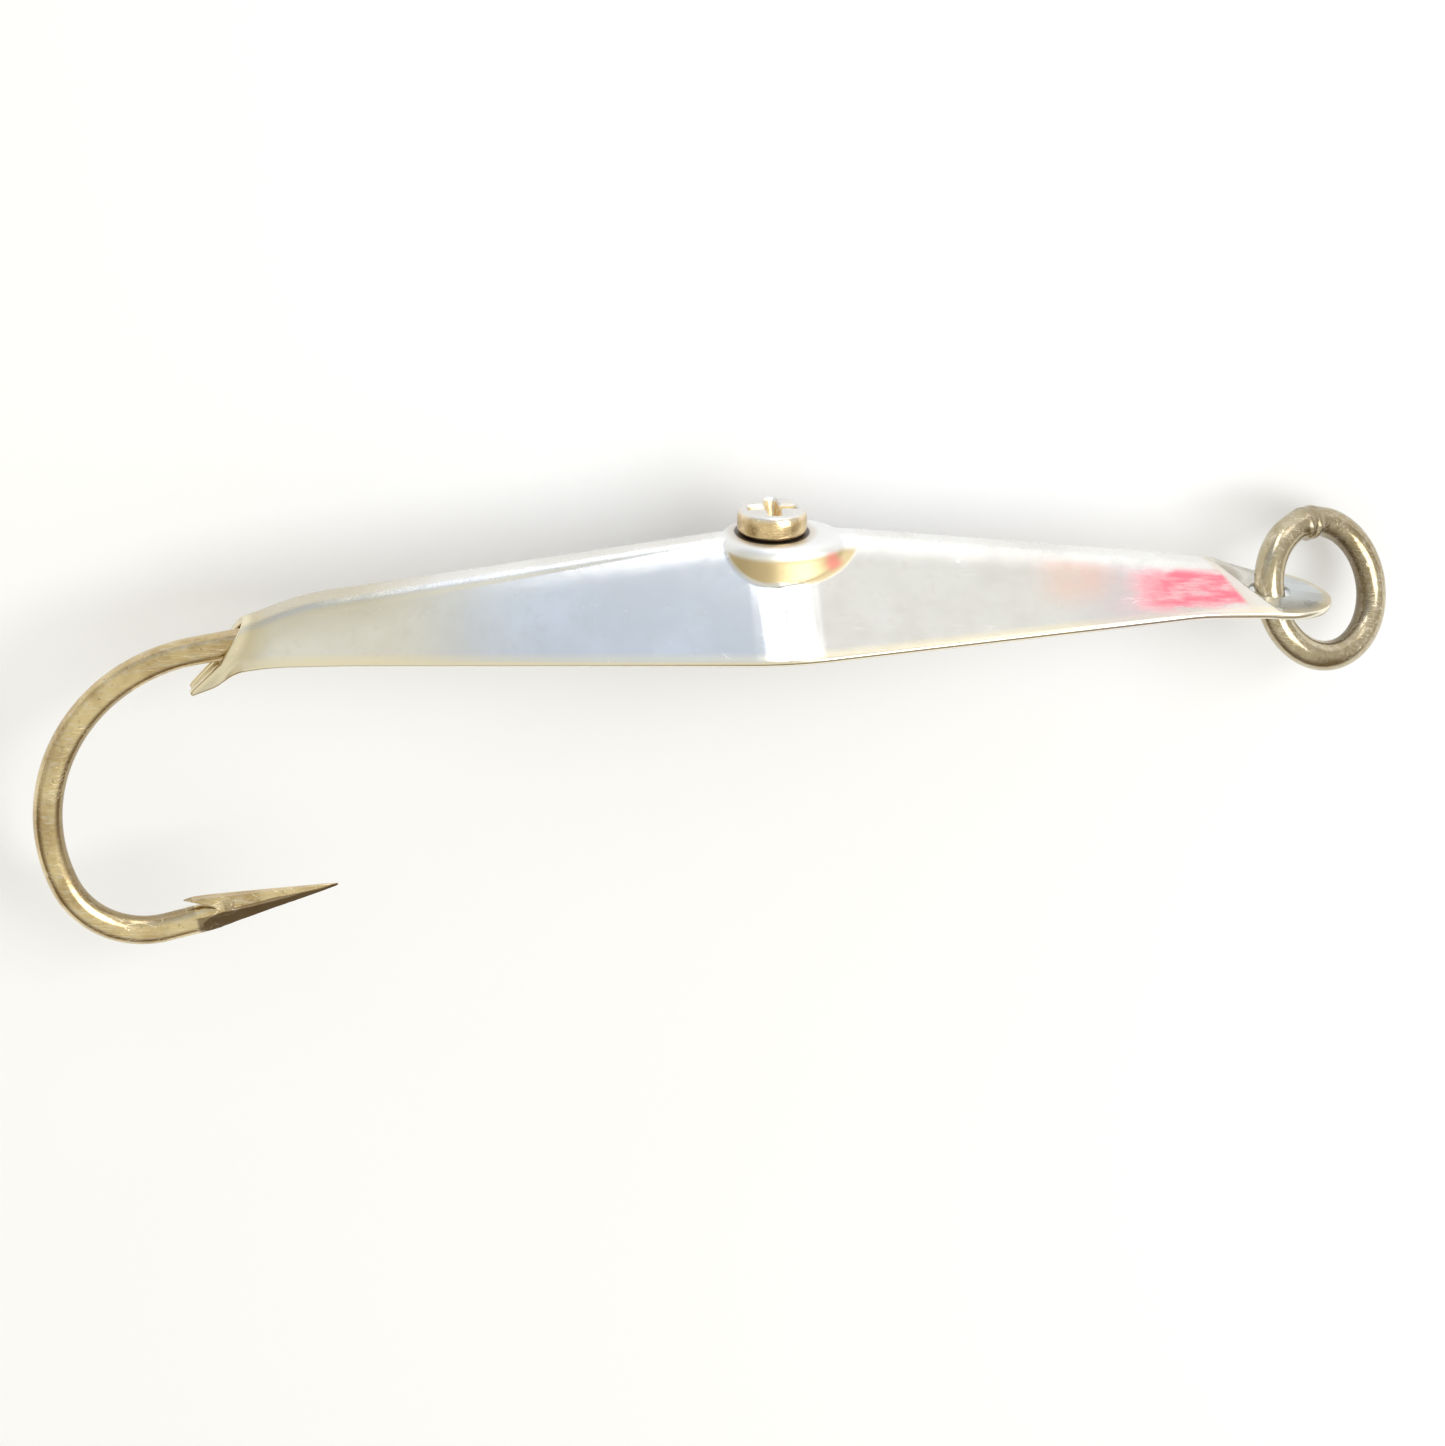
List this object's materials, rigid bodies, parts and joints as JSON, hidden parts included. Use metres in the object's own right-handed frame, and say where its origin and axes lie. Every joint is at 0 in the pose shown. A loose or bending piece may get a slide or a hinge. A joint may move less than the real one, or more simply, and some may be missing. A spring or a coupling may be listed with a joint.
{
  "type": "trolling lure jig",
  "caption": "Folded stainless sheet trolling jig with a barbed hook held by a screw and nut in a pressed boss, and a leader ring through its flat head tab",
  "frame": {"origin": "under the centre of the lure's bounding box, on the surface it lies on", "axes": "The lure lies on its side. +X runs from the hook to the leader ring, +Y up the screw away from the ridge's hollow side, +Z across the body; the hook and the ridge lie in the level middle plane."},
  "size_m": [0.1364, 0.0444, 0.0256],
  "materials": {
    "polished_sheet": "polished, lightly scratched, with a worn red flash near the head",
    "tinned_wire": "tinned, warm tinted and worn",
    "plated_fastener": "plated, dulled",
    "tinned_ring": "tumbled, warm grey"
  },
  "bodies": {
    "lure": {"body_shell": "polished_sheet", "hook": "tinned_wire", "screw": "plated_fastener", "lock_washer": "plated_fastener", "nut": "plated_fastener"},
    "ring": {"leader_ring": "tinned_ring"}
  },
  "joints": [
    {"name": "ring_swing", "type": "hinge", "parent": "lure", "child": "ring", "pos_m": [0.05477, 0.01166, 0.01279], "axis": [0.1392, 0.9903, 0], "range_deg": [-155, 95]}
  ]
}
